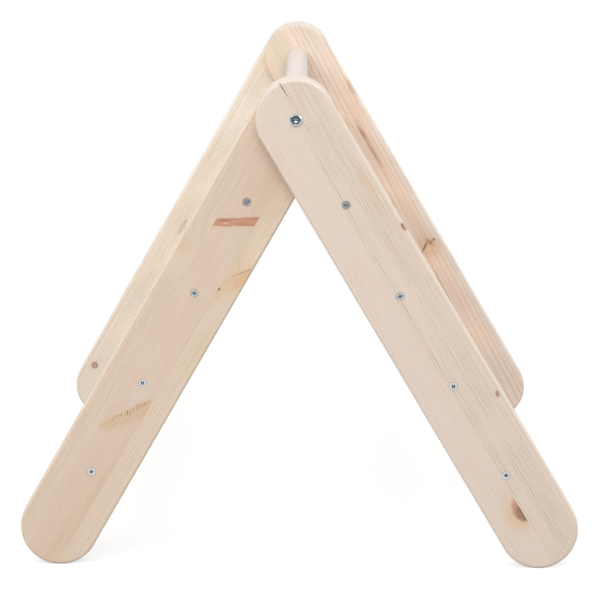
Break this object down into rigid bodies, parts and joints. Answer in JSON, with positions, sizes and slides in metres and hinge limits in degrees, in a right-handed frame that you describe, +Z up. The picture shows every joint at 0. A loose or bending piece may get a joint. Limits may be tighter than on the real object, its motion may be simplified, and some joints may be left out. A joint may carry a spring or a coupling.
{
  "type": "folding climbing triangle",
  "caption": "Folding wooden climbing triangle for toddlers: two hinged ladders of round-ended pine boards with round hardwood rungs, a shared hinge bar at the top.",
  "frame": {"origin": "on the floor, midway between the feet and midway between the front and the rear", "axes": "+Z up; +Y along the rungs, from the front to the rear; +X to the right as seen from the front"},
  "size_m": [0.676, 0.858, 0.5941],
  "materials": {
    "pine_board": "edge-glued pine boards, planed and left pale, with knots and growth rings",
    "rung_hardwood": "pale turned hardwood, fine straight grain",
    "zinc_screw": "zinc-plated steel",
    "zinc_bolt": "zinc-plated steel",
    "brass_insert": "plain turned brass"
  },
  "bodies": {
    "right_ladder": {"right_front_stile": "pine_board", "right_rear_stile": "pine_board", "right_front_screws": "zinc_screw", "right_rear_screws": "zinc_screw", "right_rung_1": "rung_hardwood", "right_rung_2": "rung_hardwood", "right_rung_3": "rung_hardwood", "right_rung_4": "rung_hardwood", "top_rung": "rung_hardwood", "hinge_bolt_front": "zinc_bolt", "hinge_insert_front": "brass_insert", "pivot_washer_front": "zinc_bolt", "hinge_bolt_rear": "zinc_bolt", "hinge_insert_rear": "brass_insert", "pivot_washer_rear": "zinc_bolt"},
    "left_ladder": {"left_front_stile": "pine_board", "left_rear_stile": "pine_board", "left_front_screws": "zinc_screw", "left_rear_screws": "zinc_screw", "left_rung_1": "rung_hardwood", "left_rung_2": "rung_hardwood", "left_rung_3": "rung_hardwood", "left_rung_4": "rung_hardwood"}
  },
  "joints": [
    {"name": "fold", "type": "hinge", "parent": "right_ladder", "child": "left_ladder", "pos_m": [0, 0, 0.54662], "axis": [0, 1, 0], "range_deg": [-27.5, 119.6]}
  ]
}
